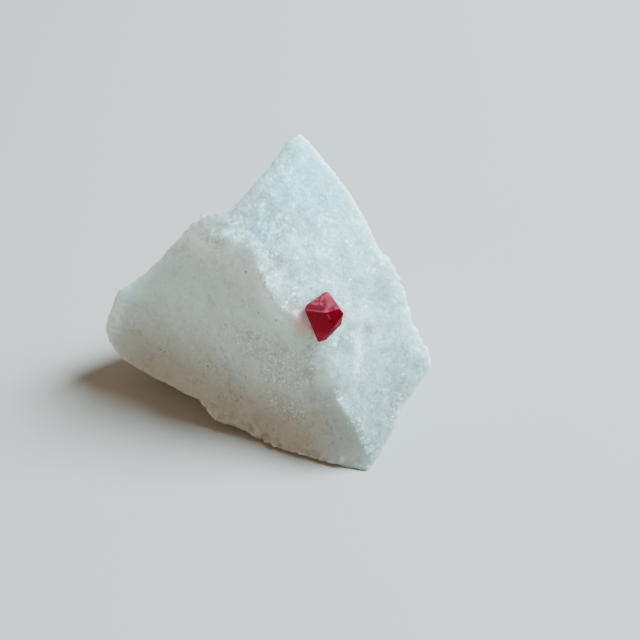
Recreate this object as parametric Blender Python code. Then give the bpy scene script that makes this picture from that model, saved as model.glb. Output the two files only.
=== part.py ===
"""Spinel on quartz: a broken chunk of milky quartz with one red spinel octahedron set in it.

Units in this script are millimetres until the last step, which scales to Blender's metres.
+Z is up, the chunk rests on its flat broken underside at z = 0, and its show side faces -Y.
The origin is the middle of the bounding box, at the bottom.

The chunk is a closed shell of two caps that meet at a rim. The rim runs round the show side;
the front cap carries the spine between the two big fracture faces, and the back cap carries
the hidden side and the flat underside. Both caps are built from a few corners, then divided,
relaxed between the sharp edges and roughened into broken crystalline rock.
"""

import math

import bmesh
import bpy
from mathutils import Matrix, Vector, noise
from mathutils.geometry import delaunay_2d_cdt

MM = 0.001  # metres in a millimetre

# ---------------------------------------------------------------- driving dimensions (mm)
SHOW_TILT = math.radians(40.3)  # how far above level the show side faces
GRAIN_EDGE = 1.05               # longest edge left by the division of the shell
DIVISION_ROUNDS = 6             # rounds of halving, enough for the longest edge of the shell
FOOT_SINK = 0.35                # how far the underside is modelled below the resting plane
RELAX_ROUNDS = 10               # rounds of smoothing between the sharp edges
CREASE_EASE = 0.25              # how far a sharp edge is eased along its own line, each round
CREASE_ROUNDS = 2
SOCKET_GAP = 0.3                # clearance between the crystal and its socket

# Roughness of the broken surface: (size of the lumps, how far they stand out)
BROAD_LUMPS = (5.5, 0.30)
SMALL_LUMPS = (1.7, 0.10)

# Rim of the show side, clockwise from the peak as seen from the front.
RIM = [
    # right-hand edge, from the peak down to the right corner
    (3.4, 3.6, 24.7), (5.3, 2.6, 22.8), (7.6, 1.2, 20.1), (9.2, 0.1, 17.8), (9.8, -0.7, 16.1),
    (10.9, -1.3, 15.2), (11.8, -2.1, 13.5), (12.6, -2.9, 11.6), (13.0, -3.5, 10.1),
    (14.1, -4.5, 7.9), (14.5, -5.0, 6.7),
    # lower right edge, from the right corner to the toe
    (13.4, -5.9, 5.8), (12.3, -7.1, 4.6), (11.8, -8.0, 3.9), (11.6, -8.8, 3.1),
    (10.3, -10.1, 1.3), (9.5, -10.7, 0.2), (8.9, -11.0, -0.1),
    # lower left edge, which overhangs the underside, from the toe to the left end
    (7.8, -10.6, 0.2), (5.8, -10.2, 0.3), (3.7, -9.4, 0.35), (1.8, -9.0, 0.2),
    (0.5, -7.9, 0.3), (-2.0, -6.7, 0.8), (-3.6, -6.1, 0.7), (-4.6, -5.3, 1.5),
    (-5.6, -4.5, 2.4), (-6.9, -3.8, 2.5), (-8.8, -2.7, 2.6), (-11.4, -1.1, 2.7),
    (-12.9, 0.3, 2.7), (-14.0, 1.2, 3.5),
    # left end
    (-14.3, 1.2, 5.5), (-13.7, 1.7, 7.6), (-12.8, 2.1, 9.6), (-11.7, 2.0, 10.1),
    # upper left edge, over the shoulder and back to the peak
    (-10.6, 1.8, 11.1), (-8.7, 1.6, 13.2), (-7.3, 1.5, 15.1), (-6.5, 1.3, 16.4),
    (-5.7, 1.1, 17.4), (-4.8, 0.7, 18.5), (-3.7, 0.3, 18.9), (-2.9, 0.2, 19.3),
    (-2.0, 0.1, 19.7), (-0.9, 0.8, 20.7), (0.9, 1.8, 22.3), (2.2, 2.9, 23.9),
]
TOE = 17        # place of the toe in RIM
SHOULDER = 41   # place of the shoulder in RIM

# Corners inside the front cap.
FRONT = {
    # spine between the left face and the right face
    "shoulder_foot": (-4.9, 0.2, 17.6), "spine_top": (-2.1, -1.4, 17.6),
    "spine_high": (-0.5, -2.2, 17.1), "spine_nick": (-0.1, -3.1, 16.0),
    "ledge_top": (0.7, -4.3, 14.8), "ledge_foot": (1.6, -5.2, 13.4),
    "spine_mid": (3.0, -5.6, 12.6), "seat": (5.2, -5.15, 12.45),
    "spine_low": (5.1, -6.8, 10.2), "spine_belly": (5.5, -7.9, 8.5),
    "spine_bend": (6.5, -8.9, 6.4), "keel_top": (7.8, -9.6, 4.5),
    "keel_mid": (8.5, -10.1, 2.8), "keel_foot": (9.3, -10.4, 1.2),
    # right face
    "peak_nose": (3.4, 3.1, 24.1), "upper_field": (3.0, 0.9, 21.2), "upper_bay": (6.2, -1.0, 17.6),
    "sugar_patch": (0.9, -0.5, 19.3), "upper_mid": (3.8, -2.5, 16.0),
    "dent": (1.7, -2.2, 15.8), "right_field": (8.5, -2.9, 13.4),
    "vein_top": (8.7, -4.8, 10.6), "vein_foot": (9.5, -6.7, 7.3),
    "right_low": (10.8, -7.9, 4.6), "right_mid": (11.6, -4.8, 8.9),
    # left face, slightly dished
    "left_far": (-10.0, -0.4, 6.9), "left_high": (-5.6, -1.0, 11.9),
    "left_upper": (-2.1, -2.3, 13.0), "left_low": (-6.3, -2.4, 6.3),
    "left_mid": (-1.8, -4.4, 7.0), "left_by_spine": (2.1, -5.6, 9.1),
    "left_hem": (-0.6, -6.1, 3.7), "left_belly": (3.3, -7.7, 4.1),
    "toe_slope": (6.3, -9.5, 2.4),
    # small lip at the left end
    "lip_top": (-11.4, 1.6, 9.8), "lip_mid": (-12.0, 0.7, 7.4), "lip_foot": (-12.7, 0.5, 5.6),
}

# Corners inside the back cap, which is the hidden side and the underside.
BACK = {
    "peak_nape": (3.5, 4.7, 23.1), "back_crown": (3.0, 7.0, 17.0), "back_shoulder": (-4.0, 5.5, 12.0),
    "back_brow": (9.3, 3.5, 13.0), "right_heel": (13.2, 0.5, 5.0),
    "lobe_back": (-11.0, 5.6, 6.4), "keel_left": (-5.6, 9.0, 3.6),
    "keel_back": (1.5, 11.0, 6.8), "keel_right": (10.2, 7.0, 4.2),
    "back_slope": (5.5, 8.6, 11.0), "back_hollow": (-3.0, 7.2, 8.6),
}

# Corners of the flat underside, listed round it; all of them lie in one level plane.
FOOT = [
    (8.6, -10.2), (3.4, -8.0), (0.2, -6.2), (-4.4, -1.4), (-9.4, 2.2), (-8.6, 5.4),
    (-6.4, 6.4), (-1.2, 10.2), (5.0, 9.2), (10.6, 5.2), (12.0, 2.2), (11.2, -3.0),
    (9.7, -8.0),
]

# Edges that stay sharp, as chains of corners.
FRONT_EDGES = [
    ["shoulder_foot", "spine_top", "spine_high", "spine_nick", "ledge_top", "ledge_foot",
     "spine_mid"],
    ["spine_bend", "keel_top", "keel_mid", "keel_foot"],
    ["lip_top", "lip_mid", "lip_foot"],
    ["vein_top", "vein_foot"],
]
BACK_EDGES = [
    ["back_shoulder", "back_crown", "back_brow", "right_heel"],
    ["back_crown", "back_slope", "keel_back", "keel_left"],
]

# The crystal in its own frame: x across it, y along it, z out of the matrix.
CRYSTAL_SEAT = (5.2, -5.2, 12.6)   # where its frame sits in the chunk
CRYSTAL = {
    "peak": (0.30, 0.18, 1.15),
    "head_left": (0.25, 1.94, -0.15), "head_right": (0.58, 1.86, -0.15),
    "left_upper": (-1.34, 0.82, 0.25), "left_lower": (-1.48, 0.42, 0.45),
    "right_notch": (1.42, 0.52, 0.20), "right_upper": (1.75, 0.14, 0.00),
    "right_lower": (1.56, -0.80, -0.05), "flank": (0.96, -0.98, 0.72),
    "foot_right": (0.27, -2.08, -0.10), "foot_left": (-0.36, -2.25, -0.10),
    "root": (0.05, -0.10, -1.75),
}


def clear_scene():
    """Remove whatever the scene holds."""
    for thing in list(bpy.data.objects):
        bpy.data.objects.remove(thing, do_unlink=True)


def material(name, colour, roughness, transmission=0.0, ior=1.5):
    """Make a Principled material from a colour, a roughness and how clear it is."""
    made = bpy.data.materials.new(name)
    made.use_nodes = True
    shader = made.node_tree.nodes["Principled BSDF"]
    shader.inputs["Base Color"].default_value = (*colour, 1.0)
    shader.inputs["Metallic"].default_value = 0.0
    shader.inputs["Roughness"].default_value = roughness
    shader.inputs["Transmission Weight"].default_value = transmission
    shader.inputs["IOR"].default_value = ior
    return made


def show_plane(point):
    """Flatten a corner onto the plane that the show side faces."""
    x, y, z = point
    return Vector((x, y * math.sin(SHOW_TILT) + z * math.cos(SHOW_TILT)))


def chain_pairs(chain):
    """Neighbouring pairs along a chain."""
    return list(zip(chain, chain[1:]))


def add_cap(mesh, rim, inner, edges, front):
    """Fill the rim with triangles through the inner corners, keeping the given edges."""
    corners = [vertex.co for vertex in rim] + [Vector(corner) for corner in inner]
    flat = [show_plane(corner) for corner in corners]
    outline = [list(range(len(rim)))[::-1]]
    result = delaunay_2d_cdt(flat, edges, outline, 1, 1e-7, True)
    points, _, triangles, origins, _, outlines = result
    if len(points) != len(corners):
        raise ValueError("two edges of the shell cross")
    vertices = rim + [mesh.verts.new(corner) for corner in inner]
    order = [vertices[origin[0]] for origin in origins]
    for triangle, within in zip(triangles, outlines):
        if within:
            face = [order[index] for index in triangle]
            mesh.faces.new(face if front else face[::-1])
    for start, end in edges:
        edge = mesh.edges.get((vertices[start], vertices[end]))
        edge.smooth = False


def numbered(names, chains, first):
    """Turn chains of corner names into pairs of corner numbers."""
    places = {name: first + place for place, name in enumerate(names)}
    return [(places[a], places[b]) for chain in chains for a, b in chain_pairs(chain)]


def build_shell():
    """Build the coarse closed shell of the chunk from its corners."""
    mesh = bmesh.new()
    rim = [mesh.verts.new(corner) for corner in RIM]
    count = len(rim)
    front_edges = numbered(FRONT, FRONT_EDGES, count)
    front_edges.append((SHOULDER, count + list(FRONT).index("shoulder_foot")))
    front_edges.append((TOE, count + list(FRONT).index("keel_foot")))
    add_cap(mesh, rim, list(FRONT.values()), front_edges, front=True)

    foot = [(x, y, -FOOT_SINK) for x, y in FOOT]
    first_foot = count + len(BACK)
    ring = [(first_foot + i, first_foot + (i + 1) % len(foot)) for i in range(len(foot))]
    back_edges = numbered(BACK, BACK_EDGES, count) + ring
    add_cap(mesh, rim, list(BACK.values()) + foot, back_edges, front=False)
    for a, b in zip(rim, rim[1:] + rim[:1]):
        mesh.edges.get((a, b)).smooth = False
    return mesh


def divide(mesh, longest):
    """Halve the long edges, round after round, until few are longer than asked."""
    for _ in range(DIVISION_ROUNDS):
        long_edges = [edge for edge in mesh.edges if edge.calc_length() > longest]
        bmesh.ops.subdivide_edges(mesh, edges=long_edges, cuts=1)
        bmesh.ops.triangulate(mesh, faces=mesh.faces[:], quad_method="BEAUTY",
                              ngon_method="BEAUTY")


def relax(mesh):
    """Smooth the faces between the sharp edges, and ease the sharp edges along their lines."""
    def crease_neighbours(vertex):
        return [edge.other_vert(vertex) for edge in vertex.link_edges if not edge.smooth]

    creases = {vertex: crease_neighbours(vertex) for vertex in mesh.verts}
    for turn in range(RELAX_ROUNDS):
        moved = {}
        for vertex in mesh.verts:
            along = creases[vertex]
            if not along:
                around = [edge.other_vert(vertex).co for edge in vertex.link_edges]
                moved[vertex] = sum(around, Vector()) / len(around)
            elif len(along) == 2 and turn < CREASE_ROUNDS:
                middle = (along[0].co + along[1].co) / 2
                moved[vertex] = vertex.co.lerp(middle, CREASE_EASE)
        for vertex, place in moved.items():
            vertex.co = place


def roughen(mesh):
    """Push the surface in and out with two sizes of lumps."""
    mesh.normal_update()
    shifts = []
    for vertex in mesh.verts:
        shift = 0.0
        for size, height in (BROAD_LUMPS, SMALL_LUMPS):
            shift += height * noise.noise(vertex.co / size, noise_basis="PERLIN_ORIGINAL")
        shifts.append(vertex.normal * shift)
    for vertex, shift in zip(mesh.verts, shifts):
        vertex.co += shift


def cut_foot(mesh):
    """Cut everything below the resting plane away and close the cut with one flat face."""
    everything = mesh.verts[:] + mesh.edges[:] + mesh.faces[:]
    bmesh.ops.bisect_plane(mesh, geom=everything, plane_co=(0, 0, 0), plane_no=(0, 0, -1),
                           clear_outer=True, dist=1e-4)
    open_edges = [edge for edge in mesh.edges if edge.is_boundary]
    bmesh.ops.holes_fill(mesh, edges=open_edges, sides=0)
    bmesh.ops.triangulate(mesh, faces=mesh.faces[:])


def crystal_frame():
    """The crystal's place: leaning back with the show side, on its seat."""
    lean = Matrix.Rotation(math.pi / 2 - SHOW_TILT, 4, "X")
    return Matrix.Translation(Vector(CRYSTAL_SEAT)) @ lean


def build_crystal(swell=0.0):
    """Wrap the crystal's corners in flat faces, swollen outwards by a margin if asked."""
    mesh = bmesh.new()
    signs = (-1, 1) if swell else (0,)
    for corner in CRYSTAL.values():
        for sx in signs:
            for sy in signs:
                for sz in signs:
                    mesh.verts.new(Vector(corner) + Vector((sx, sy, sz)) * swell)
    wrapped = bmesh.ops.convex_hull(mesh, input=mesh.verts[:])
    loose = [item for item in wrapped["geom_interior"] if isinstance(item, bmesh.types.BMVert)]
    bmesh.ops.delete(mesh, geom=loose, context="VERTS")
    bmesh.ops.transform(mesh, matrix=crystal_frame(), verts=mesh.verts[:])
    bmesh.ops.recalc_face_normals(mesh, faces=mesh.faces[:])
    return mesh


def to_object(name, mesh, shift, finish=None):
    """Move a mesh by a shift in millimetres, scale it to metres and make it an object."""
    bmesh.ops.translate(mesh, vec=shift, verts=mesh.verts[:])
    bmesh.ops.scale(mesh, vec=(MM, MM, MM), verts=mesh.verts[:])
    data = bpy.data.meshes.new(name)
    mesh.to_mesh(data)
    mesh.free()
    thing = bpy.data.objects.new(name, data)
    bpy.context.scene.collection.objects.link(thing)
    if finish:
        data.materials.append(finish)
    return thing


def bottom_centre(mesh):
    """The middle of a mesh's bounding box, at the bottom."""
    lows = [min(vertex.co[axis] for vertex in mesh.verts) for axis in range(3)]
    highs = [max(vertex.co[axis] for vertex in mesh.verts) for axis in range(3)]
    return Vector(((lows[0] + highs[0]) / 2, (lows[1] + highs[1]) / 2, lows[2]))


def main():
    """Build the chunk, its crystal and the socket between them."""
    clear_scene()
    milky_quartz = material("milky_quartz", (0.72, 0.74, 0.72), 0.55)
    red_spinel = material("red_spinel", (0.45, 0.01, 0.03), 0.15, transmission=0.6, ior=1.72)

    shell = build_shell()
    divide(shell, GRAIN_EDGE)
    relax(shell)
    roughen(shell)
    cut_foot(shell)

    shift = -bottom_centre(shell)
    matrix = to_object("quartz_matrix", shell, shift, milky_quartz)
    to_object("spinel_crystal", build_crystal(), shift, red_spinel)

    cutter = to_object("socket_cutter", build_crystal(SOCKET_GAP), shift)
    cutter.hide_render = True
    cutter.display_type = "WIRE"
    socket = matrix.modifiers.new("socket", "BOOLEAN")
    socket.operation = "DIFFERENCE"
    socket.solver = "EXACT"
    socket.object = cutter


main()
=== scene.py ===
"""Finished look of a small mineral specimen: a red spinel set in a chunk of milky quartz.

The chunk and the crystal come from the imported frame, in metres. The rock is meshed again at the
size of its grain, roughened, and cut so that it grips the crystal. Sugar grains are strewn where
the break runs through the grains of the quartz. The crystal keeps the corners of the frame and
gains soft edges and growth steps. Sizes in the classes are millimetres.
"""

from __future__ import annotations

import logging
import math
from collections.abc import Iterable, Mapping, Sequence
from dataclasses import dataclass
from enum import Enum
from typing import Any

import bmesh
import bpy
from mathutils import Matrix, Vector
from mathutils.bvhtree import BVHTree


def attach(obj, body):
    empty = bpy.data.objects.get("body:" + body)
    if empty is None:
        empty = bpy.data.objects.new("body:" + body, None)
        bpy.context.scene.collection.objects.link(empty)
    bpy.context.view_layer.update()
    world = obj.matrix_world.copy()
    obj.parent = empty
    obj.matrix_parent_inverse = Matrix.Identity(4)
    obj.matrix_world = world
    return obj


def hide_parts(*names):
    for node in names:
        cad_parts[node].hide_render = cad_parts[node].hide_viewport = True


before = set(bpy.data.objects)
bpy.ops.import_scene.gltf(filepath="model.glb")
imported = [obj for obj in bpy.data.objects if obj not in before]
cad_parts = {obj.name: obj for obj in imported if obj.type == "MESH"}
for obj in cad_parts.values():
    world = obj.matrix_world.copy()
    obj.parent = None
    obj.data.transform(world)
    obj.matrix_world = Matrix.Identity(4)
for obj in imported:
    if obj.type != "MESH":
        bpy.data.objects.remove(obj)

MM = 0.001                      # metres in a millimetre
SHOW_TILT = math.radians(40.3)  # how far above level the show side faces
SAME_CORNER = 0.0005            # corners within this many millimetres are one
BODY = "root"                   # the one body of the frame

Point = tuple[float, float, float]
Colour = tuple[float, float, float]

log = logging.getLogger("specimen")


class Node(Enum):
    """The nodes of the frame."""

    MATRIX = "quartz_matrix"
    CRYSTAL = "spinel_crystal"


class Slot(Enum):
    """The material slots of the record."""

    QUARTZ = "quartz"
    SPINEL = "spinel"


class CrystalFinish(Enum):
    """The finishes of the crystal, by their place among its materials."""

    GLASS = 0
    FROST = 1
    EDGE = 2


# ------------------------------------------------------------------ places on the chunk (mm)
@dataclass(frozen=True)
class Patch:
    """A round patch of the surface with a soft edge.

    Args:
        centre: its middle.
        reach: how far it goes before it has faded out.
    """

    centre: Point
    reach: float


@dataclass(frozen=True)
class Strip:
    """A straight streak of the surface with a soft edge.

    Args:
        start: one end of its middle line.
        end: the other end.
        reach: how far from the line it goes before it has faded out.
    """

    start: Point
    end: Point
    reach: float


COARSE = (  # where the break is sugary and coarse
    Patch((-3.7, -0.2, 18.0), 2.7), Patch((0.2, -1.1, 18.0), 3.4),
    Strip((0.5, -3.2, 15.6), (2.2, -4.9, 13.6), 1.5),
    Strip((2.2, -4.9, 13.6), (2.5, -5.0, 13.3), 0.8),
)
SPARKLING = (  # where the grain is fine and glittering
    Strip((-1.2, -4.2, 9.3), (1.2, -5.5, 8.4), 2.0), Strip((1.2, -5.5, 8.4), (3.6, -6.6, 8.1), 1.9),
    Strip((0.6, -5.9, 6.7), (2.6, -6.7, 6.9), 1.3), Strip((0.5, -7.4, 4.7), (2.5, -8.4, 4.2), 1.7),
    Patch((4.3, -6.4, 9.6), 1.3), Patch((11.5, -7.8, 4.1), 1.3), Patch((-3.9, -0.6, 17.2), 1.7),
    Strip((8.0, -9.4, 4.5), (9.4, -10.3, 1.0), 0.5),
)
SMUDGES = (  # faint brown-grey stains
    Patch((-2.2, -5.4, 3.4), 1.5), Patch((1.9, -7.2, 3.4), 1.9), Patch((5.1, -8.6, 4.2), 1.5),
    Patch((9.1, -4.9, 10.7), 0.9), Patch((-3.4, -5.7, 2.0), 1.7),
    Strip((1.6, -2.4, 16.4), (1.3, -3.1, 15.6), 0.6),
    Patch((4.1, -7.1, 8.0), 0.9), Patch((4.2, -7.7, 6.2), 1.1), Patch((-0.5, -4.1, 14.2), 0.9),
)
JAGGED = (  # where the edges break into small teeth
    Strip((-5.4, -4.8, 2.0), (-2.0, -6.8, 0.8), 1.2), Strip((-2.0, -6.8, 0.8), (1.8, -9.1, 0.3), 1.2),
    Strip((1.8, -9.1, 0.3), (7.8, -10.6, 0.3), 1.1), Patch((-4.9, 0.6, 18.2), 1.2),
    Patch((-2.9, 0.0, 18.9), 0.9),
    Strip((9.9, -0.9, 15.8), (11.4, -1.7, 14.2), 0.8), Strip((11.4, -1.7, 14.2), (13.8, -4.5, 8.2), 0.7),
)
LEDGE = (  # the rounded brow below the left shoulder
    Strip((-5.6, 0.4, 17.0), (-3.9, -0.5, 17.0), 1.25), Strip((-3.9, -0.5, 17.0), (-2.2, -1.0, 17.0), 1.15),
)
TERRACED = (Patch((-2.5, -0.3, 18.5), 2.3),)  # where small steps face up, to the right
PAINTED_BOUNCE_SHADE = (Strip((-10.0, -1.6, 2.8), (2.6, -8.7, 0.6), 8.1),)  # painted shade and warm bounce light, darker and browner towards the lower left edge
PAINTED_COOL_LIGHT = (  # painted cool window light: bluer, denser milk on the lit peak and shoulder, and a bluish highlight on the left end
    Patch((3.3, 2.7, 23.5), 13.0), Patch((0.4, -1.1, 18.1), 3.6), Patch((-3.0, -1.6, 19.6), 3.6),
    Patch((-12.7, 1.5, 9.8), 2.6),
)
PAINTED_THROUGH_LIGHT = (  # whiter milk as painted light, where light comes through the thin rock of the shoulder and the ridge
    Strip((-4.6, -0.1, 16.6), (-0.6, -2.8, 15.4), 3.4), Strip((-0.6, -2.8, 15.4), (1.6, -5.1, 12.8), 2.0),
    Patch((2.1, -1.6, 17.4), 2.6), Patch((-3.7, -0.3, 17.8), 3.6), Patch((5.3, -7.7, 7.4), 1.5),
)
VEINS = (  # milkier, denser streaks
    Strip((7.7, -5.0, 10.5), (8.3, -5.9, 9.1), 0.55), Strip((8.3, -5.9, 9.1), (8.0, -6.9, 7.8), 0.50),
    Patch((11.7, -7.6, 4.1), 0.9), Strip((-12.6, 1.4, 9.4), (-13.4, 1.2, 6.0), 1.0),
)
CRACKS = (Strip((13.4, -4.8, 7.9), (13.8, -5.4, 6.5), 0.13),)
CLEARER_AND_SHADED = (  # greyer and less milky, and painted shade: the darker lower right and the crystal's shadow above and left of it
    Patch((10.6, -8.4, 4.0), 10.0), Patch((7.0, -5.6, 10.2), 2.4), Patch((2.9, -4.6, 13.7), 1.3),
    Strip((7.1, -8.2, 6.8), (8.9, -9.8, 2.8), 1.4), Strip((2.6, -3.6, 16.6), (3.5, -5.3, 14.3), 1.8),
)
PAINTED_RED_SHADOW = (Strip((3.0, -5.2, 13.0), (3.6, -5.5, 11.6), 1.5),)  # painted shadow of the crystal, tinged by the red light it lets through
PAINTED_RED_GLOW = (  # painted glow: the rim of the seat, lit pink by the crystal's red light
    Strip((6.95, -4.2, 12.0), (6.6, -4.8, 11.6), 0.36), Strip((6.6, -4.8, 11.6), (5.1, -6.0, 10.5), 0.36),
    Strip((3.8, -4.2, 13.0), (4.9, -3.5, 13.5), 0.38),
)
SPECKS = (  # dark inclusions
    Patch((-1.2, -2.5, 15.0), 0.15), Patch((-0.2, -4.2, 12.1), 0.14), Patch((1.3, -5.0, 11.9), 0.17),
    Patch((-9.2, -1.4, 5.4), 0.17), Patch((-8.7, -1.6, 5.4), 0.13), Patch((-4.8, -3.6, 5.5), 0.16),
    Patch((-3.1, -3.0, 9.7), 0.13),
)

PAINTED_RIDGE_HIGHLIGHTS = (  # painted highlights: the fine pale line along the crystal's cross ridge and the glint below its peak
    Strip((3.80, -5.26, 13.20), (5.35, -5.86, 13.44), 0.10),
    Strip((5.55, -5.98, 13.26), (5.75, -6.09, 12.98), 0.14),
)
DARK_BAND = (  # unetched, above the ridge
    Strip((3.90, -5.00, 13.36), (5.10, -5.40, 13.52), 0.40),
    Strip((5.70, -5.50, 13.50), (6.30, -5.00, 13.30), 0.30),
)
CRYSTAL_BROW = (Patch((5.95, -4.85, 13.50), 1.0),)                     # duller upper right face
CRYSTAL_FLANK = (Patch((6.30, -5.75, 12.75), 1.15),)                   # deep, mottled right face
PAINTED_RIM_SHADE = (  # painted shade: the thick, dark edge low on the right
    Strip((6.70, -5.20, 12.60), (6.62, -5.65, 12.05), 0.26),
    Strip((6.62, -5.65, 12.05), (5.45, -6.42, 11.05), 0.22),
)
CRYSTAL_FOOT = (Patch((5.05, -6.48, 11.05), 0.80),)                    # paler growth step at the foot


# ------------------------------------------------------------------ patterns
@dataclass(frozen=True)
class Blotches:
    """An irregular pattern of soft blotches, made from noise.

    Args:
        size: the size of a blotch, mm.
        detail: how many finer layers the noise has.
        seed: shifts the pattern to another part of the noise.
        start: the noise value where the pattern is still 0.
        full: the noise value where it is 1; below start, the pattern is turned round.
    """

    size: float
    detail: float
    seed: float
    start: float
    full: float


@dataclass(frozen=True)
class Tint:
    """A colour that is laid over another one.

    Args:
        colour: the colour.
        strength: how much of it shows where it is laid on fully.
    """

    colour: Colour
    strength: float


CLOUDS = Blotches(4.0, 3.0, 0.0, 0.38, 0.68)            # less milky rock
MOTTLING = Blotches(0.34, 3.0, 2.0, 0.38, 0.66)         # greyer grains
STAINING = Blotches(0.9, 3.0, 5.0, 0.40, 0.66)          # where the stains have taken
STREAKS = Blotches(0.45, 2.0, 7.0, 0.38, 0.60)          # the broken milk of the veins
FLECKS_AND_GLINTS = Blotches(0.18, 2.0, 14.0, 0.54, 0.64)          # small white grains, partly painted glints
PAINTED_GLINT_BUNCHES = Blotches(0.7, 2.0, 17.0, 0.40, 0.54)      # where the painted glints, white dots, gather
GLINT_BUNCHES = Blotches(0.8, 2.0, 19.0, 0.34, 0.50)    # where glints gather
GRAIN_BUNCHES = Blotches(0.9, 2.0, 12.0, 0.35, 0.60)    # where strewn grains gather
SHEEN = Blotches(0.35, 2.0, 11.0, 0.36, 0.60)           # glossier parts of the break
FLANK_BLOTCHES = Blotches(0.42, 3.0, 4.0, 0.62, 0.44)   # deep red on the crystal's right face
UNEVEN_RED = Blotches(0.9, 2.0, 6.0, 0.45, 0.65)        # deeper red across the crystal


# ------------------------------------------------------------------ wiring nodes
class Wire:
    """An output socket that takes part in Python arithmetic."""

    def __init__(self, graph: Graph, socket: bpy.types.NodeSocket | None) -> None:
        """Wrap a socket.

        Args:
            graph: the graph that new nodes are added to.
            socket: the output socket; a node that ends a tree has none.
        """
        self.graph = graph
        self.socket = socket

    def _math(self, operation: str, *values: Wire | float) -> Wire:
        """Add a Math node on the given values."""
        return self.graph.node("ShaderNodeMath", {"operation": operation}, dict(enumerate(values)))

    def __add__(self, other: Wire | float) -> Wire:
        """Sum of two values."""
        return self._math("ADD", self, other)

    __radd__ = __add__

    def __sub__(self, other: Wire | float) -> Wire:
        """Difference of two values."""
        return self._math("SUBTRACT", self, other)

    def __rsub__(self, other: float) -> Wire:
        """Difference of a number and this value."""
        return self._math("SUBTRACT", other, self)

    def __mul__(self, other: Wire | float) -> Wire:
        """Product of two values."""
        return self._math("MULTIPLY", self, other)

    __rmul__ = __mul__

    def __truediv__(self, other: Wire | float) -> Wire:
        """Quotient of two values."""
        return self._math("DIVIDE", self, other)

    def __rtruediv__(self, other: float) -> Wire:
        """Quotient of a number and this value."""
        return self._math("DIVIDE", other, self)

    def top(self, other: Wire | float) -> Wire:
        """The larger of two values."""
        return self._math("MAXIMUM", self, other)

    def low(self, other: Wire | float) -> Wire:
        """The smaller of two values."""
        return self._math("MINIMUM", self, other)

    def step(self, start: float, end: float) -> Wire:
        """Rise smoothly from 0 to 1 between two values.

        Args:
            start: where it is still 0.
            end: where it has become 1; below start, the step falls instead.

        Returns:
            The smooth step.
        """
        if end < start:
            return 1 - self.step(end, start)
        settings = {"interpolation_type": "SMOOTHSTEP"}
        sockets = {"Value": self, "From Min": start, "From Max": end}
        return self.graph.node("ShaderNodeMapRange", settings, sockets)

    def rise(self, span: tuple[float, float]) -> Wire:
        """Rise smoothly from 0 to 1 over a span of millimetres; the value is in metres."""
        return self.step(span[0] * MM, span[1] * MM)

    def other(self, name: str) -> Wire:
        """Another output of the node that this one belongs to."""
        return Wire(self.graph, Graph.find(self.socket.node.outputs, name))


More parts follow.
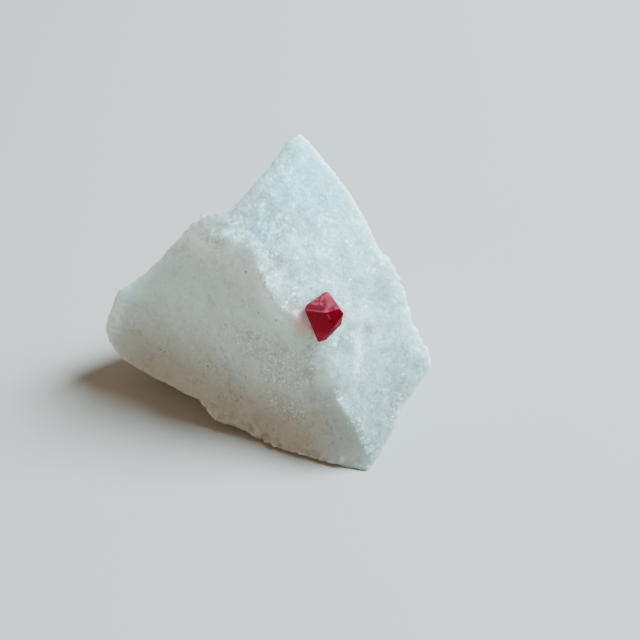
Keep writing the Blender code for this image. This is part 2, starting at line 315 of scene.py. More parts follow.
class Graph:
    """A node tree under construction, for a material or for geometry."""

    def __init__(self, tree: bpy.types.NodeTree) -> None:
        """Take the tree that gets the nodes."""
        self.tree = tree

    @staticmethod
    def find(sockets: Sequence[bpy.types.NodeSocket], key: str | int) -> bpy.types.NodeSocket:
        """Find a socket.

        Args:
            sockets: the inputs or the outputs of a node.
            key: the socket's place, its identifier or its name.

        Returns:
            The socket.
        """
        if isinstance(key, int):
            return sockets[key]
        for socket in sockets:
            if socket.identifier == key:
                return socket
        return sockets[key]

    def node(
        self,
        kind: str,
        settings: Mapping[str, Any] | None = None,
        sockets: Mapping[str | int, Any] | None = None,
        output: str | int = 0,
    ) -> Wire:
        """Add any node.

        Args:
            kind: the node's type.
            settings: its own settings, set before its sockets.
            sockets: values or wires for its inputs.
            output: the output to return.

        Returns:
            A wire from the chosen output.
        """
        made = self.tree.nodes.new(kind)
        for name, value in (settings or {}).items():
            setattr(made, name, value)
        for key, value in (sockets or {}).items():
            socket = self.find(made.inputs, key)
            if isinstance(value, Wire):
                self.tree.links.new(value.socket, socket)
            else:
                socket.default_value = value
        return Wire(self, self.find(made.outputs, output) if made.outputs else None)

    def vector(self, operation: str, *values: Any, output: str = "Vector", scale: Any = None) -> Wire:
        """Add a Vector Math node.

        Args:
            operation: what it does.
            values: the vectors that it works on.
            output: the output to return, Vector or Value.
            scale: the factor, where the operation has one.

        Returns:
            A wire from the chosen output.
        """
        sockets: dict[str | int, Any] = dict(enumerate(values))
        if scale is not None:
            sockets["Scale"] = scale
        return self.node("ShaderNodeVectorMath", {"operation": operation}, sockets, output)

    def noise(self, place: Wire, size: Wire | float, detail: Wire | float, seed: float) -> Wire:
        """Soft noise, about 0 to 1.

        Args:
            place: the position in metres.
            size: size of its blotches in millimetres.
            detail: how many finer layers it has.
            seed: shifts it to another part of the pattern.

        Returns:
            The noise's value; its colour is the node's other output.
        """
        sockets = {"Vector": place, "W": seed, "Scale": 1 / (size * MM), "Detail": detail}
        return self.node("ShaderNodeTexNoise", {"noise_dimensions": "4D"}, sockets)

    def blotches(self, place: Wire, pattern: Blotches) -> Wire:
        """Where an irregular pattern lies: 1 in its blotches, falling softly to 0."""
        noise = self.noise(place, pattern.size, pattern.detail, pattern.seed)
        return noise.step(pattern.start, pattern.full)

    def cells(self, place: Wire, size: float) -> Wire:
        """Cells of about the given size in millimetres; the value is the distance in the cell."""
        sockets = {"Vector": place, "Scale": 1 / (size * MM)}
        return self.node("ShaderNodeTexVoronoi", {"feature": "F1"}, sockets, "Distance")

    def picked(self, cells: Wire, start: float, full: float, draw: str = "Red") -> Wire:
        """Pick some of the cells by a random number that each of them has.

        Args:
            cells: the cells.
            start: the number where a cell begins to count.
            full: the number from which it counts fully.
            draw: the channel that holds the number.

        Returns:
            1 in the picked cells and 0 in the others.
        """
        draws = {"Color": cells.other("Color")}
        return self.node("ShaderNodeSeparateColor", {}, draws, draw).step(start, full)

    def mix(self, factor: Wire | float, first: Any, second: Any) -> Wire:
        """Blend two colours.

        Args:
            factor: how much of the second there is.
            first: a colour or a wire.
            second: a colour or a wire.

        Returns:
            The blend.
        """
        sides = {"A_Color": first, "B_Color": second}
        for key, side in sides.items():
            if isinstance(side, tuple):
                sides[key] = (*side, 1.0)
        settings = {"data_type": "RGBA", "clamp_factor": True}
        return self.node("ShaderNodeMix", settings, {"Factor_Float": factor, **sides}, "Result_Color")

    def lay(self, tint: Tint, where: Wire, colour: Wire | Colour) -> Wire:
        """Lay a tint over a colour where a mask is 1."""
        return self.mix(where * tint.strength, colour, tint.colour)

    def _distance(self, place: Wire, spot: Patch | Strip) -> Wire:
        """How far a position is from a patch's centre or a strip's line.

        Args:
            place: the position in metres.
            spot: the patch or the strip.

        Returns:
            The distance in metres.
        """
        if isinstance(spot, Patch):
            return self.vector("DISTANCE", place, Vector(spot.centre) * MM, output="Value")
        start = Vector(spot.start) * MM
        along = Vector(spot.end) * MM - start
        arm = self.vector("SUBTRACT", place, start)
        share = self.vector("DOT_PRODUCT", arm, along / along.length_squared, output="Value")
        foot = self.vector("SCALE", along, scale=share.top(0.0).low(1.0))
        return self.vector("DISTANCE", arm, foot, output="Value")

    def spots(self, place: Wire, spots: Iterable[Patch | Strip], core: float) -> Wire:
        """Where a set of patches and strips lies.

        Args:
            place: the position in metres.
            spots: the patches and strips.
            core: the share of the reach that is full.

        Returns:
            1 inside, falling softly to 0.
        """
        covered: Wire | None = None
        for spot in spots:
            here = (self._distance(place, spot) * (1 / (spot.reach * MM))).step(1.0, core)
            covered = here if covered is None else covered.top(here)
        return covered


class Surface(Graph):
    """The node tree of a new material."""

    def __init__(self, name: str) -> None:
        """Make the material, with an empty tree.

        Args:
            name: the material's name.
        """
        self.material = bpy.data.materials.new(name)
        self.material.use_nodes = True
        super().__init__(self.material.node_tree)
        self.tree.nodes.clear()
        self.place = self.node("ShaderNodeTexCoord", output="Object")

    def finish(self, shader: Wire, volume: Wire | None = None) -> bpy.types.Material:
        """Send the shader to the material's output.

        Args:
            shader: the surface.
            volume: what fills the inside, if anything.

        Returns:
            The material.
        """
        sockets = {"Surface": shader} if volume is None else {"Surface": shader, "Volume": volume}
        self.node("ShaderNodeOutputMaterial", {}, sockets)
        return self.material


class Recipe(Graph):
    """A Geometry Nodes tree with named inputs."""

    def __init__(self, name: str, inputs: Mapping[str, float | int | bpy.types.Object]) -> None:
        """Make the tree and its inputs.

        Args:
            name: the tree's name.
            inputs: the inputs' names and values, in order.
        """
        super().__init__(bpy.data.node_groups.new(name, "GeometryNodeTree"))
        face = self.tree.interface
        face.new_socket("Geometry", in_out="INPUT", socket_type="NodeSocketGeometry")
        face.new_socket("Geometry", in_out="OUTPUT", socket_type="NodeSocketGeometry")
        self.values: dict[str, Any] = {}
        for label, value in inputs.items():
            kind = {float: "NodeSocketFloat", int: "NodeSocketInt"}.get(type(value), "NodeSocketObject")
            made = face.new_socket(label, in_out="INPUT", socket_type=kind)
            self.values[made.identifier] = value
        self.group = self.node("NodeGroupInput")
        self.place = self.node("GeometryNodeInputPosition")

    def input(self, label: str) -> Wire:
        """The wire of a named input."""
        return self.group.other(label)

    def finish(self, geometry: Wire, finish: bpy.types.Material) -> None:
        """End the tree: realize the instances and give everything its material.

        Args:
            geometry: what the tree has made.
            finish: the material.
        """
        solid = self.node("GeometryNodeRealizeInstances", {}, {"Geometry": geometry})
        dressed = self.node("GeometryNodeSetMaterial", {}, {"Geometry": solid, "Material": finish})
        self.node("NodeGroupOutput", {}, {"Geometry": dressed})

    def run(self, piece: bpy.types.Object) -> None:
        """Run the tree on an object and keep the result as its plain mesh.

        Args:
            piece: the object.
        """
        modifier = piece.modifiers.new(self.tree.name, "NODES")
        modifier.node_group = self.tree
        for identifier, value in self.values.items():
            modifier[identifier] = value
        settle(piece)


# ------------------------------------------------------------------ meshes
def new_piece(name: str, mesh: bpy.types.Mesh | bmesh.types.BMesh) -> bpy.types.Object:
    """Make an object at the origin from a mesh.

    Args:
        name: the object's name.
        mesh: its mesh, in metres; a bmesh is used up.

    Returns:
        The object, linked to the scene.
    """
    if isinstance(mesh, bmesh.types.BMesh):
        data = bpy.data.meshes.new(name)
        mesh.to_mesh(data)
        mesh.free()
        mesh = data
    piece = bpy.data.objects.new(name, mesh)
    bpy.context.scene.collection.objects.link(piece)
    return piece


def settle(piece: bpy.types.Object) -> None:
    """Turn what an object's modifiers make into its plain mesh.

    Args:
        piece: the object, which loses its modifiers.
    """
    bpy.context.view_layer.update()
    graph = bpy.context.evaluated_depsgraph_get()
    made = bpy.data.meshes.new_from_object(piece.evaluated_get(graph), depsgraph=graph)
    piece.modifiers.clear()
    piece.data = made


def merged_node(node: Node) -> bmesh.types.BMesh:
    """Copy a node of the frame, with its loose triangles merged.

    Args:
        node: the node.

    Returns:
        The copy, in millimetres.
    """
    mesh = bmesh.new()
    mesh.from_mesh(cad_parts[node.value].data)
    bmesh.ops.scale(mesh, vec=(1 / MM,) * 3, verts=mesh.verts[:])
    bmesh.ops.remove_doubles(mesh, verts=mesh.verts[:], dist=SAME_CORNER)
    return mesh


def to_metres(mesh: bmesh.types.BMesh) -> bmesh.types.BMesh:
    """Scale a mesh from millimetres to metres."""
    bmesh.ops.scale(mesh, vec=(MM,) * 3, verts=mesh.verts[:])
    return mesh


def hull(points: Iterable[Vector]) -> bmesh.types.BMesh:
    """Wrap a set of points.

    Args:
        points: the points.

    Returns:
        The convex solid round them.
    """
    mesh = bmesh.new()
    for point in points:
        mesh.verts.new(point)
    wrapped = bmesh.ops.convex_hull(mesh, input=mesh.verts[:])
    loose = [item for item in wrapped["geom_interior"] if isinstance(item, bmesh.types.BMVert)]
    bmesh.ops.delete(mesh, geom=loose, context="VERTS")
    bmesh.ops.recalc_face_normals(mesh, faces=mesh.faces[:])
    return mesh


def swollen(points: Sequence[Vector], margin: float) -> bmesh.types.BMesh:
    """The convex solid round a set of points, a margin larger on every side.

    Args:
        points: the corners in millimetres.
        margin: how much larger, in millimetres, in the crystal's own axes.

    Returns:
        The solid.
    """
    lean = Matrix.Rotation(math.pi / 2 - SHOW_TILT, 3, "X")
    signs = (-margin, margin)
    shifts = [lean @ Vector((x, y, z)) for x in signs for y in signs for z in signs]
    return hull([point + shift for point in points for shift in shifts])


def count_triangles(piece: bpy.types.Object) -> int:
    """How many triangles an object's mesh has."""
    return sum(len(face.vertices) - 2 for face in piece.data.polygons)


# ------------------------------------------------------------------ finishes
@dataclass(frozen=True)
class MilkyQuartz:
    """Finish of the broken quartz: milky, faintly see-through, sugary, with stains and specks, and painted
    light, shade and glints.
    """

    milk: Colour = (0.65, 0.79, 0.77)
    clouded: Tint = Tint((0.45, 0.53, 0.53), 0.20)
    # painted light: whiter milk where light comes through thin rock
    pale: Tint = Tint((0.86, 0.96, 0.92), 0.9)
    # painted cool window light: bluer, denser milk
    painted_cool_light: Tint = Tint((0.52, 0.94, 1.0), 0.8)
    # greyer, less milky rock, partly painted shade at the lower right and beside the crystal
    clearer_and_shaded: Tint = Tint((0.30, 0.37, 0.355), 0.85)
    # painted shade with warm bounce light, laid towards the lower left edge
    painted_bounce_shade: Tint = Tint((0.38, 0.305, 0.24), 0.9)
    stain: Tint = Tint((0.38, 0.32, 0.26), 0.75)
    # the white of veins and grains, and of painted glints
    dense_and_glinting: Tint = Tint((0.90, 0.98, 0.99), 0.8)
    # painted shadow of the crystal, tinged red by its light
    painted_red_shadow: Tint = Tint((0.68, 0.47, 0.43), 0.85)
    # painted glow of the crystal's red light on the rock
    painted_red_glow: Tint = Tint((0.96, 0.60, 0.60), 0.9)
    speck: Tint = Tint((0.20, 0.16, 0.13), 0.65)
    # painted glints: white dots
    glint_white: Colour = (1.0, 1.0, 1.0)
    crack: float = 0.45             # how much of the specks' colour a crack shows
    shade_calm: float = 0.8          # how far the painted warm shade hides white grains
    index: float = 1.54
    depth: float = 2.2              # how far light wanders inside, mm
    spread: Colour = (1.0, 0.95, 0.9)           # how far each colour wanders beside that
    see_through: float = 0.85
    smooth: float = 0.15
    rough: float = 0.50
    facet: float = 0.24             # width of the small glittering facets, mm
    broad_facet: float = 0.62       # width of the broad ones, mm
    broad_share: float = 0.6        # how far the broad ones tilt beside the small ones
    steeper: float = 1.2            # how much further the steepest cells tilt
    glints_face: Point = (-0.40, -0.74, 0.54)   # the way the glittering cells face
    glints_turn: float = 3.0        # how strongly they are turned that way
    terraces_face: Point = (0.60, 0.10, 0.80)   # the way the small steps face
    terraces_turn: float = 0.9      # how strongly they are turned that way
    glints_clean: float = 0.8       # how much smoother and flatter the glittering cells are
    dot: float = 0.40               # width of the cells with painted glints, white dots, mm
    sugar: float = 0.30             # width of the grains that stand out, mm
    powder: float = 0.20            # width of the finest relief, mm
    relief: float = 0.10            # height of that relief, mm

    def colour(self, graph: Surface, coarse: Wire, sparkle: Wire) -> Wire:
        """Wire the colour.

        Args:
            graph: the material's graph.
            coarse: where the break is coarse.
            sparkle: where it glitters.

        Returns:
            The colour.
        """
        place = graph.place
        colour = graph.lay(self.clouded, graph.blotches(place, CLOUDS), self.milk)
        # painted light: whiter where light comes through the thin shoulder and ridge
        colour = graph.lay(self.pale, graph.spots(place, PAINTED_THROUGH_LIGHT, 0.1), colour)
        # painted cool light on the peak and shoulder, and a painted highlight on the left end
        colour = graph.lay(self.painted_cool_light, graph.spots(place, PAINTED_COOL_LIGHT, 0.1), colour)
        # greyer rock, partly painted shade at the lower right and in the crystal's shadow
        colour = graph.lay(self.clearer_and_shaded, graph.spots(place, CLEARER_AND_SHADED, 0.2), colour)
        # greyer grains; the extra where the rock glitters is painted shade of the grains' relief
        mottled = graph.blotches(place, MOTTLING) * (0.14 + 0.45 * sparkle.top(0.5 * coarse))
        colour = graph.mix(mottled, colour, self.clouded.colour)
        # painted shade: darker and browner towards the lower left edge, as with warm bounce light
        bounce_shaded = graph.spots(place, PAINTED_BOUNCE_SHADE, 0.1)
        colour = graph.lay(self.painted_bounce_shade, bounce_shaded, colour)
        stained = graph.spots(place, SMUDGES, 0.1) * (0.3 + 0.7 * graph.blotches(place, STAINING))
        colour = graph.lay(self.stain, stained, colour)
        veined = graph.spots(place, VEINS, 0.1) * graph.blotches(place, STREAKS)
        colour = graph.lay(self.dense_and_glinting, veined, colour)
        calm = 1 - self.shade_calm * bounce_shaded
        # white grains, partly painted glints where the break is coarse or glitters
        flecks_and_glints = graph.blotches(place, FLECKS_AND_GLINTS) * (0.20 * calm + 0.7 * coarse + 0.5 * sparkle)
        colour = graph.mix(flecks_and_glints, colour, self.dense_and_glinting.colour)
        # painted glints: white dots where the rock glitters
        colour = graph.mix(self.painted_glints(graph, calm, sparkle), colour, self.glint_white)
        # painted shadow left of the crystal, tinged by its red light
        colour = graph.lay(self.painted_red_shadow, graph.spots(place, PAINTED_RED_SHADOW, 0.1), colour)
        # painted glow: pink rim of the seat, lit by the crystal's red light
        colour = graph.lay(self.painted_red_glow, graph.spots(place, PAINTED_RED_GLOW, 0.2), colour)
        dark = graph.spots(place, SPECKS, 0.5) * self.speck.strength
        dark = dark.top(graph.spots(place, CRACKS, 0.2) * self.crack)
        return graph.mix(dark, colour, self.speck.colour)

    def painted_glints(self, graph: Surface, calm: Wire, sparkle: Wire) -> Wire:
        """Wire the painted glints: white dots that gather where the rock glitters.

        Args:
            graph: the material's graph.
            calm: how freely the painted glints show elsewhere.
            sparkle: where the break glitters.

        Returns:
            1 on the painted glints.
        """
        flattened = graph.vector("MULTIPLY", graph.place, (1.0, 1.0, 1.5))
        cells = graph.cells(flattened, self.dot)
        amount = 0.08 * calm + 0.92 * sparkle * graph.blotches(graph.place, PAINTED_GLINT_BUNCHES)
        return cells.step(0.42, 0.20) * graph.picked(cells, 0.38, 0.46) * amount

    def facets(self, graph: Surface, amount: Wire, glints: Wire, terraces: Wire) -> Wire:
        """Tilt the surface cell by cell, as the faces of broken grains are.

        Args:
            graph: the material's graph.
            amount: how far the cells tilt, each its own way.
            glints: where cells glitter.
            terraces: where cells are small steps.

        Returns:
            The tilted normal.
        """
        normal = graph.node("ShaderNodeNewGeometry", output="Normal")
        turns = ((self.glints_face, glints * self.glints_turn),
                 (self.terraces_face, terraces * self.terraces_turn))
        for facing, turn in turns:
            normal = graph.vector("ADD", normal, graph.vector("SCALE", facing, scale=turn))
        for width, share in ((self.facet, 1.0), (self.broad_facet, self.broad_share)):
            cells = graph.cells(graph.place, width)
            tilt = graph.vector("SUBTRACT", cells.other("Color"), (0.5, 0.5, 0.5))
            push = amount * share * (1 + self.steeper * graph.picked(cells, 0.70, 0.95))
            normal = graph.vector("ADD", normal, graph.vector("SCALE", tilt, scale=push))
        return graph.vector("NORMALIZE", normal)

    def make(self) -> bpy.types.Material:
        """Make the material.

        Returns:
            The material.
        """
        graph = Surface("milky_quartz")
        place = graph.place
        sparkle = graph.spots(place, SPARKLING, 0.4)
        coarse = graph.spots(place, COARSE, 0.3)
        lively = sparkle.top(coarse)
        turned = graph.picked(graph.cells(place, self.facet), 0.56, 0.64, "Green")
        glints = turned * graph.blotches(place, GLINT_BUNCHES) * sparkle
        terraces = turned * graph.spots(place, TERRACED, 0.2)
        sheen = graph.blotches(place, SHEEN) * (0.6 + 0.4 * lively)
        rough = self.rough - sheen * (self.rough - self.smooth)
        rough = rough * (1 - self.glints_clean * glints.top(0.7 * turned * coarse))
        sugar = graph.cells(place, self.sugar) * (0.45 + 0.5 * lively)
        powder = graph.noise(place, self.powder, 3.0, 9.0) * (0.7 + 0.5 * lively)
        tilted = self.facets(graph, 0.36 + 0.20 * sparkle + 0.45 * coarse, glints, terraces)
        normal = graph.node("ShaderNodeBump", {}, {
            "Strength": 0.9, "Distance": self.relief * MM,
            "Height": (sugar + powder) * (1 - self.glints_clean * glints), "Normal": tilted,
        })
        shader = graph.node("ShaderNodeBsdfPrincipled", {"subsurface_method": "RANDOM_WALK"}, {
            "Base Color": self.colour(graph, coarse, sparkle), "Roughness": rough, "IOR": self.index,
            "Subsurface Weight": self.see_through, "Subsurface Scale": self.depth * MM,
            "Subsurface Radius": self.spread, "Normal": normal,
        })
        return graph.finish(shader)


@dataclass(frozen=True)
class SugarGrain:
    """Finish of the loose-looking grains: the rock's colour, clearer and glossier."""

    rock: MilkyQuartz = MilkyQuartz()
    clear: Colour = (0.80, 0.90, 0.92)
    paler: float = 0.35             # how much paler than the rock the grains are
    smooth: float = 0.12
    duller: float = 0.25            # how much rougher than that the dullest ones are
    depth: float = 1.2              # how far light wanders inside, mm
    spread: Colour = (1.0, 0.97, 0.95)          # how far each colour wanders beside that

    def make(self) -> bpy.types.Material:
        """Make the material.

        Returns:
            The material.
        """
        graph = Surface("sugar_grain")
        place = graph.place
        coarse = graph.spots(place, COARSE, 0.3)
        colour = self.rock.colour(graph, coarse, graph.spots(place, SPARKLING, 0.4))
        rough = self.smooth + graph.noise(place, 0.3, 1.0, 6.0) * self.duller
        shader = graph.node("ShaderNodeBsdfPrincipled", {"subsurface_method": "RANDOM_WALK"}, {
            "Base Color": graph.mix(self.paler, colour, self.clear), "Roughness": rough,
            "IOR": self.rock.index, "Subsurface Weight": self.rock.see_through,
            "Subsurface Scale": self.depth * MM, "Subsurface Radius": self.spread,
        })
        return graph.finish(shader)


@dataclass(frozen=True)
class SpinelGlass:
    """Finish of the clear faces of the crystal: deep red glass that eats green and blue light, with a
    painted highlight along its ridge and painted shade at its low right edge.
    """

    skin: Colour = (0.90, 0.001, 0.060)
    flank: Tint = Tint((0.40, 0.0005, 0.015), 1.0)
    uneven: Tint = Tint((0.40, 0.0005, 0.015), 0.35)
    # painted shade at the low right edge
    painted_rim_shade: Tint = Tint((0.10, 0.0002, 0.006), 0.85)
    step: Tint = Tint((1.0, 0.16, 0.24), 1.0)
    # painted highlight along the ridge and below the peak
    painted_ridge_highlight: Tint = Tint((1.0, 0.16, 0.24), 0.7)
    red: Colour = (0.99, 0.02, 0.25)
    density: float = 350.0          # absorption, per metre
    sheen: Colour = (1.0, 0.10, 0.16)
    gloss: float = 0.2
    index: float = 1.718
    clear: float = 0.86             # share of light let through
    polish: float = 0.08
    ripple: float = 0.02            # height of the growth ripples, mm

    def make(self) -> bpy.types.Material:
        """Make the material.

        Returns:
            The material.
        """
        graph = Surface("spinel_glass")
        place = graph.place
        ripple = graph.noise(place, 0.5, 2.0, 1.0)
        mottled = 0.45 + 0.55 * graph.blotches(place, FLANK_BLOTCHES)
        colour = graph.lay(self.flank, graph.spots(place, CRYSTAL_FLANK, 0.6) * mottled, self.skin)
        colour = graph.lay(self.uneven, graph.blotches(place, UNEVEN_RED), colour)
        step = graph.spots(place, CRYSTAL_FOOT, 0.75) * (0.35 + 0.3 * ripple)
        colour = graph.lay(self.step, step, colour)
        # painted highlight along the ridge
        colour = graph.lay(self.painted_ridge_highlight, graph.spots(place, PAINTED_RIDGE_HIGHLIGHTS, 0.3), colour)
        # painted shade: dark edge low on the right
        colour = graph.lay(self.painted_rim_shade, graph.spots(place, PAINTED_RIM_SHADE, 0.3), colour)
        normal = graph.node("ShaderNodeBump", {}, {
            "Strength": 0.3, "Distance": self.ripple * MM, "Height": ripple,
        })
        shader = graph.node("ShaderNodeBsdfPrincipled", {}, {
            "Base Color": colour, "Roughness": self.polish + ripple * 0.10, "IOR": self.index,
            "Transmission Weight": self.clear, "Specular IOR Level": self.gloss, "Normal": normal,
            "Specular Tint": (*self.sheen, 1.0),
        })
        return graph.finish(shader, spinel_inside(graph, self))


@dataclass(frozen=True)
class SpinelFrost:
    """Finish of the upper faces: etched pale pink, mottled, letting some red through."""

    glass: SpinelGlass = SpinelGlass()
    pale: Colour = (0.37, 0.058, 0.082)
    bare: Colour = (0.12, 0.002, 0.010)
    dark: Colour = (0.07, 0.0005, 0.006)
    brow: Colour = (0.155, 0.022, 0.031)
    sheen: Colour = (0.25, 0.02, 0.04)
    ridge_highlight: float = 0.6         # how pale the painted ridge highlight is beside the etched parts
    brow_dull: float = 0.9          # how little the brow lets through
    dull_gloss: float = 0.04
    clear: float = 0.8              # share of light that the bare parts let through
    etching: float = 0.30           # width of the etched patches, mm
    pit: float = 0.17               # width of the etch pits, mm
    pit_depth: float = 0.05         # mm

    def make(self) -> bpy.types.Material:
        """Make the material.

        Returns:
            The material.
        """
        graph = Surface("spinel_frost")
        place = graph.place
        patchy = graph.noise(place, self.etching, 3.0, 2.0)
        pits = graph.cells(place, self.pit)
        etched = (patchy + 0.35 * pits).step(0.48, 0.76)
        band = (graph.spots(place, DARK_BAND, 0.1) * 1.5 * patchy.step(0.30, 0.55)).low(0.8)
        brow = graph.spots(place, CRYSTAL_BROW, 0.5) * (0.6 + 0.4 * etched)
        colour = graph.mix(etched, self.bare, self.pale)
        colour = graph.mix(brow, colour, self.brow)
        colour = graph.mix(band, colour, self.dark)
        # painted highlight along the ridge
        colour = graph.mix(graph.spots(place, PAINTED_RIDGE_HIGHLIGHTS, 0.3) * self.ridge_highlight, colour, self.pale)
        normal = graph.node("ShaderNodeBump", {}, {
            "Strength": 0.8, "Distance": self.pit_depth * MM, "Height": patchy + 0.6 * pits,
        })
        frosted = graph.node("ShaderNodeBsdfPrincipled", {}, {
            "Base Color": colour, "Roughness": 0.5 + 0.2 * etched, "IOR": 1.5,
            "Specular IOR Level": self.dull_gloss, "Normal": normal,
        })
        bare = graph.node("ShaderNodeBsdfPrincipled", {}, {
            "Base Color": (*self.glass.skin, 1.0), "Roughness": 0.35, "IOR": self.glass.index,
            "Transmission Weight": self.clear, "Specular IOR Level": self.glass.gloss,
            "Normal": normal, "Specular Tint": (*self.sheen, 1.0),
        })
        share = (0.40 + 0.5 * etched).top(band).top(self.brow_dull * brow)
        shader = graph.node("ShaderNodeMixShader", {}, {0: share, 1: bare, 2: frosted})
        return graph.finish(shader, spinel_inside(graph, self.glass))


def spinel_inside(graph: Surface, glass: SpinelGlass) -> Wire:
    """The red that fills the crystal, as plain absorption."""
    sockets = {"Color": (*glass.red, 1.0), "Density": glass.density}
    return graph.node("ShaderNodeVolumeAbsorption", {}, sockets)


@dataclass(frozen=True)
class PlainMatt:
    """A plain matt finish, for the floor and the painted shade on the crystal's low side faces.

    Args:
        name: the material's name.
        tone: its colour.
        rough: its roughness.
        gloss: its faint shine.
    """

    name: str
    tone: Colour
    rough: float = 0.85
    gloss: float = 0.2

    def make(self) -> bpy.types.Material:
        """Make the material.

        Returns:
            The material.
        """
        graph = Surface(self.name)
        shader = graph.node("ShaderNodeBsdfPrincipled", {}, {
            "Base Color": (*self.tone, 1.0), "Roughness": self.rough,
            "Specular IOR Level": self.gloss,
        })
        return graph.finish(shader)


# ------------------------------------------------------------------ the crystal
@dataclass
class SpinelCrystal:
    """The red crystal: a distorted octahedron that leans back with the show side."""

    edge_ease: float = 0.035        # width of the worn edges, mm
    flat_angle: float = 6.0         # faces within this many degrees are one crystal face
    upper_tilt: float = 0.25        # how far a face turns up the crystal to count as an upper face
    side_tilt: float = 0.42         # how little a face turns outwards to count as a side face
    # painted shade on the low side faces
    shaded_edge_tone: Colour = (0.13, 0.002, 0.013)

    def corners(self) -> list[Vector]:
        """Find the crystal's corners.

        Returns:
            The corners in millimetres.
        """
        mesh = merged_node(Node.CRYSTAL)
        points = [vertex.co.copy() for vertex in mesh.verts]
        mesh.free()
        return points

    def build(self) -> bpy.types.Object:
        """Build the crystal.

        Returns:
            The crystal's object.
        """
        mesh = hull(self.corners())
        bmesh.ops.dissolve_limit(mesh, angle_limit=math.radians(self.flat_angle),
                                 verts=mesh.verts[:], edges=mesh.edges[:])
        bmesh.ops.bevel(mesh, geom=mesh.edges[:], offset=self.edge_ease, segments=2, profile=0.5,
                        affect="EDGES", clamp_overlap=True)
        bmesh.ops.triangulate(mesh, faces=mesh.faces[:])
        self._mark_faces(mesh)
        piece = new_piece("spinel_gem", to_metres(mesh))
        finishes = {
            CrystalFinish.GLASS: SpinelGlass(),
            CrystalFinish.FROST: SpinelFrost(),
            CrystalFinish.EDGE: PlainMatt("spinel_shaded_edge", self.shaded_edge_tone),
        }
        for finish in CrystalFinish:
            piece.data.materials.append(finishes[finish].make())
        return piece

    def _mark_faces(self, mesh: bmesh.types.BMesh) -> None:
        """Give the upper faces the frosted finish and the low side faces the dark one, which is painted
        shade.

        Args:
            mesh: the crystal's mesh.
        """
        lean = Matrix.Rotation(math.pi / 2 - SHOW_TILT, 3, "X")
        up_the_crystal, outwards = lean @ Vector((0.0, 1.0, 0.0)), lean @ Vector((0.0, 0.0, 1.0))
        mesh.normal_update()
        for face in mesh.faces:
            if face.normal.dot(up_the_crystal) > self.upper_tilt:
                face.material_index = CrystalFinish.FROST.value
            elif 0.0 < face.normal.dot(outwards) < self.side_tilt:
                face.material_index = CrystalFinish.EDGE.value


